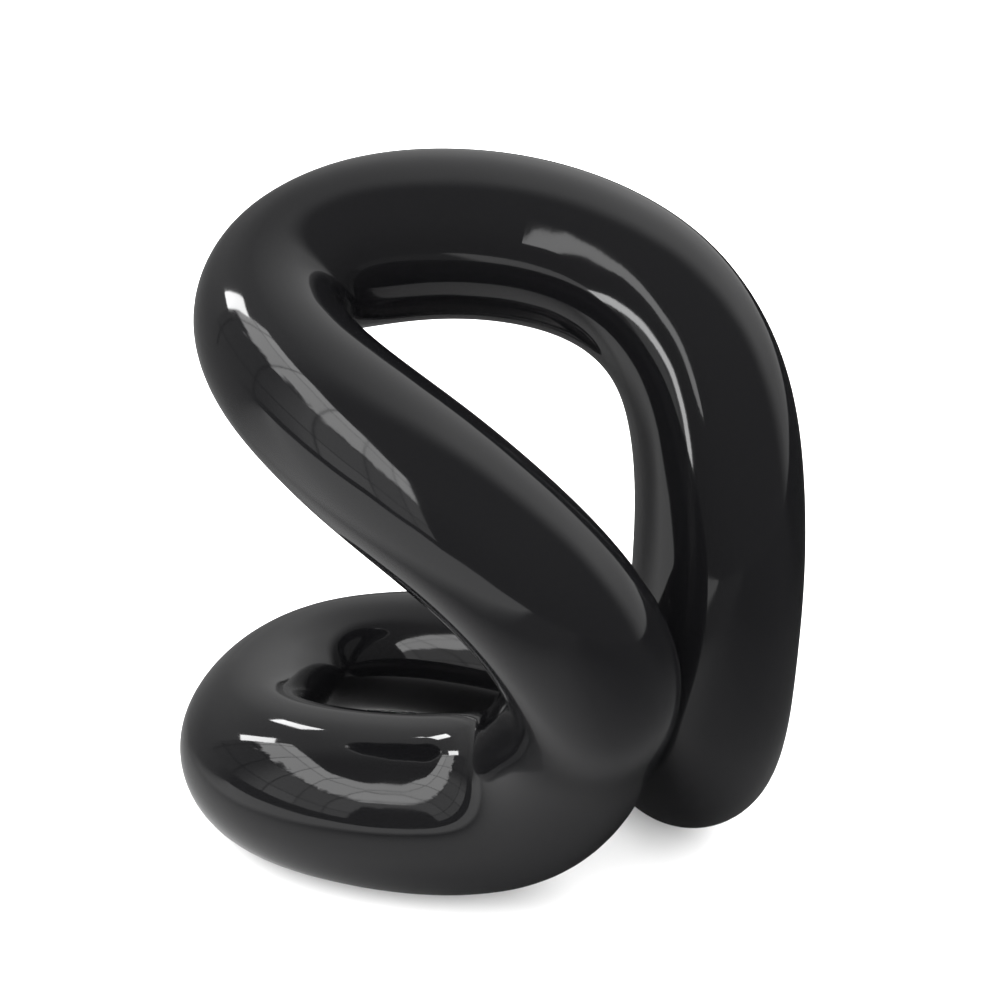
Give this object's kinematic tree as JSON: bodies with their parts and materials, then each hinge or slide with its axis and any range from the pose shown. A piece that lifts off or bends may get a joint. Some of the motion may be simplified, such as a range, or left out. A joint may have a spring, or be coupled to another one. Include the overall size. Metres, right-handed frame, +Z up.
{
  "type": "looped knot ornament",
  "caption": "Free-standing table ornament: one endless thick tube looped into an open knot, hollow glazed black stoneware on small felt pads.",
  "frame": {"origin": "on the floor, under the middle of the knot's bounding box", "axes": "+Z up; -Y towards the side that the diagonal strand crosses; +X towards the upright leg"},
  "size_m": [0.1527, 0.1552, 0.1728],
  "materials": {
    "glazed_stoneware": "gloss",
    "felt": "matte"
  },
  "bodies": {
    "root": {"lower_hairpin_casting": "glazed_stoneware", "foot_bend_casting": "glazed_stoneware", "upper_bend_casting": "glazed_stoneware", "upper_hairpin_casting": "glazed_stoneware", "diagonal_casting": "glazed_stoneware", "front_bend_casting": "glazed_stoneware", "felt_pad_front": "felt", "felt_pad_left": "felt", "felt_pad_back": "felt", "felt_pad_foot": "felt"}
  },
  "joints": []
}
